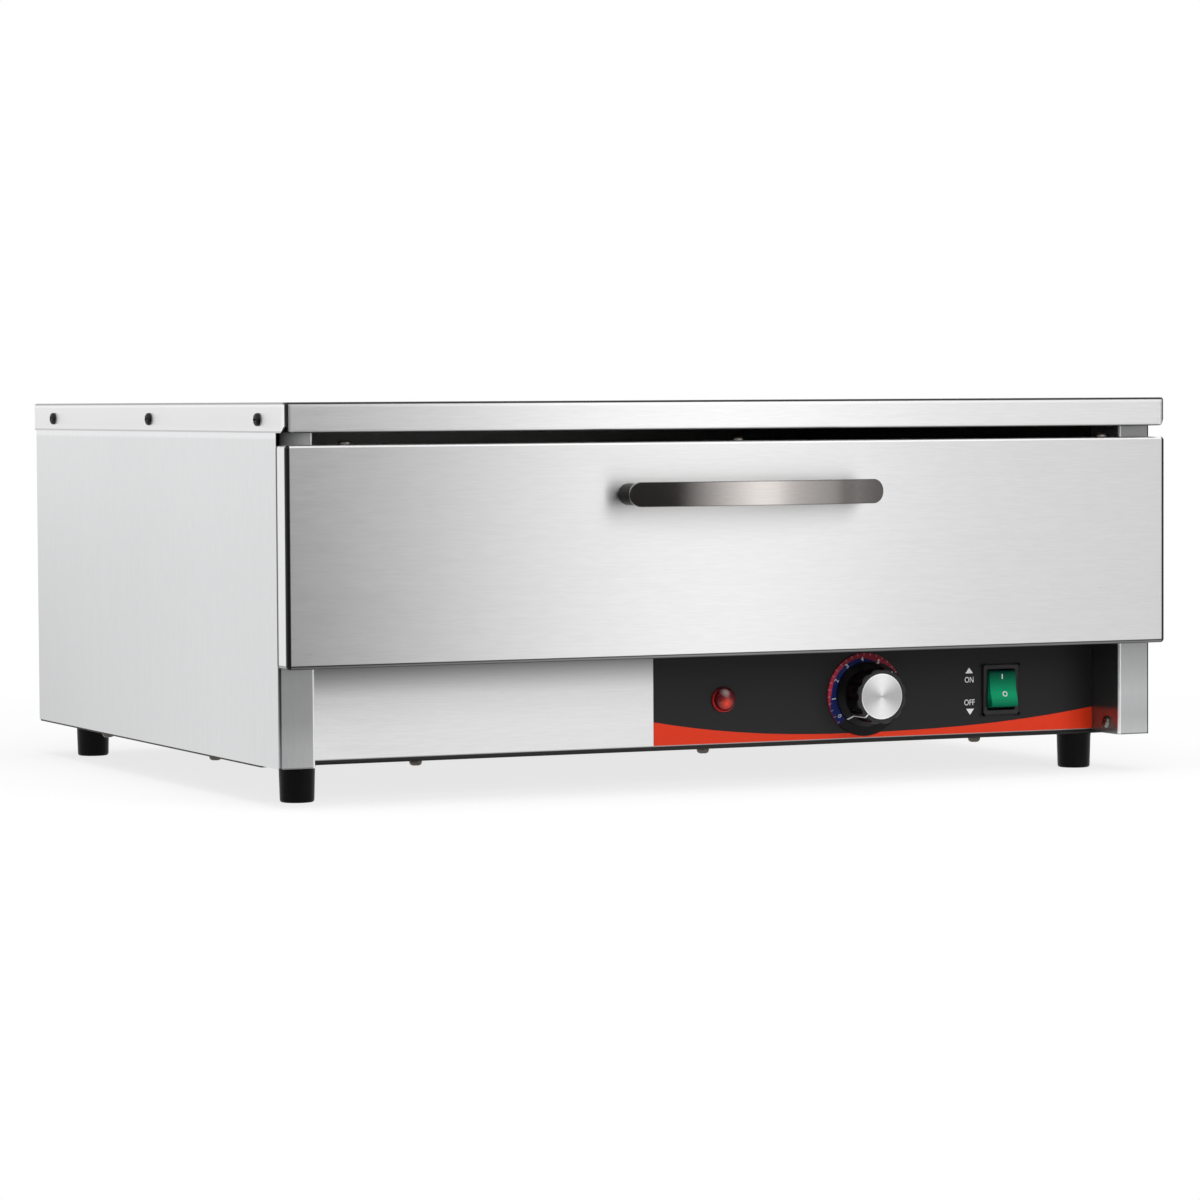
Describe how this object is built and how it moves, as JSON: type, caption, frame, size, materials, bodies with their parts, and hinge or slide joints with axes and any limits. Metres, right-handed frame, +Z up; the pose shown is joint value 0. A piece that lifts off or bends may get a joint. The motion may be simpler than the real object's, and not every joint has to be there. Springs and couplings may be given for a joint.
{
  "type": "freestanding warming drawer",
  "caption": "Counter-top stainless warming drawer: a heated cabinet on rubber feet with one pull-out drawer and a thermostat, pilot lamp and rocker switch below it.",
  "frame": {"origin": "on the floor, under the middle of the box that holds the whole object, at the feet's bottoms", "axes": "+X to the right seen from the front, along the width; +Y to the rear; +Z up; the front faces -Y"},
  "size_m": [0.5848, 0.5114, 0.2332],
  "materials": {
    "casing_steel": "long brushed grain, satin",
    "liner_steel": "mill finish",
    "slide_zinc": "bright zinc plating",
    "dark_screw": "blackened",
    "bright_screw": "plain steel",
    "foot_rubber": "moulded, matt",
    "handle_metal": "dark brushed, lengthwise grain",
    "boss_black": "matt",
    "overlay_film": "printed film, satin",
    "dial_print": "printed plate, satin",
    "knob_black": "moulded, satin",
    "disc_aluminium": "spun, bright rim",
    "shaft_steel": "turned",
    "lamp_body": "moulded, satin",
    "lamp_red": "clear red, moulded",
    "switch_black": "moulded, satin",
    "rocker_green": "clear green, moulded",
    "terminal_brass": "stamped, bright",
    "thermostat_case": "pressed steel",
    "bulb_copper": "drawn copper",
    "heater_sheath": "heat-darkened sheath",
    "porcelain": "glazed white",
    "wire_sheath": "fibre-covered insulation",
    "board_fibre": "pressed mineral fibre"
  },
  "bodies": {
    "cabinet": {"base_plate": "liner_steel", "base_screws": "bright_screw", "bulb_clips": "slide_zinc", "cabinet_rail_rivets": "slide_zinc", "cap_screws": "dark_screw", "control_fascia": "casing_steel", "dial_plate": "dial_print", "divider_plate": "liner_steel", "fascia_overlay": "overlay_film", "fascia_screws": "bright_screw", "foot_screws": "bright_screw", "heater_brackets": "slide_zinc", "heater_terminals": "terminal_brass", "heating_element": "heater_sheath", "inlet_housing": "switch_black", "inlet_pins": "terminal_brass", "inner_liner": "liner_steel", "insulation_boards": "board_fibre", "left_cabinet_rail": "slide_zinc", "left_front_foot": "foot_rubber", "left_rear_foot": "foot_rubber", "left_side_panel": "casing_steel", "liner_back": "liner_steel", "pilot_lamp_body": "lamp_body", "pilot_lamp_lens": "lamp_red", "pilot_lamp_nut": "lamp_body", "rear_panel": "casing_steel", "rear_screws": "bright_screw", "right_cabinet_rail": "slide_zinc", "right_front_foot": "foot_rubber", "right_rear_foot": "foot_rubber", "right_side_panel": "casing_steel", "rocker_housing": "switch_black", "sensing_bulb": "bulb_copper", "spade_terminals": "terminal_brass", "terminal_block": "porcelain", "thermostat_body": "thermostat_case", "thermostat_nut": "slide_zinc", "top_cap": "casing_steel", "wiring": "wire_sheath"},
    "drawer": {"drawer_front": "casing_steel", "drawer_inner_plate": "casing_steel", "drawer_front_screws": "bright_screw", "drawer_box": "liner_steel", "drawer_rail_rivets": "slide_zinc", "left_drawer_rail": "slide_zinc", "right_drawer_rail": "slide_zinc", "handle_bar": "handle_metal", "left_handle_boss": "boss_black", "right_handle_boss": "boss_black", "handle_screws": "bright_screw"},
    "left_slide_middle": {"left_middle_rail": "slide_zinc"},
    "right_slide_middle": {"right_middle_rail": "slide_zinc"},
    "knob": {"knob_body": "knob_black", "knob_disc": "disc_aluminium", "thermostat_shaft": "shaft_steel"},
    "rocker": {"rocker_button": "rocker_green"}
  },
  "joints": [
    {"name": "drawer_slide", "type": "slide", "parent": "cabinet", "child": "drawer", "axis": [0, -1, 0], "range_m": [0, 0.36]},
    {"name": "left_middle_slide", "type": "slide", "parent": "cabinet", "child": "left_slide_middle", "axis": [0, -1, 0], "range_m": [0, 0.18]},
    {"name": "right_middle_slide", "type": "slide", "parent": "cabinet", "child": "right_slide_middle", "axis": [0, -1, 0], "range_m": [0, 0.18]},
    {"name": "knob_turn", "type": "hinge", "parent": "cabinet", "child": "knob", "pos_m": [0.1052, -0.1797, 0.0518], "axis": [0, 1, 0], "range_deg": [0, 270]},
    {"name": "rocker_tip", "type": "hinge", "parent": "cabinet", "child": "rocker", "pos_m": [0.2005, -0.1776, 0.0518], "axis": [1, 0, 0], "range_deg": [0, 20]}
  ],
  "couplings": [
    {"joint": "left_middle_slide", "follows": "drawer_slide", "ratio": 0.5},
    {"joint": "right_middle_slide", "follows": "drawer_slide", "ratio": 0.5}
  ]
}
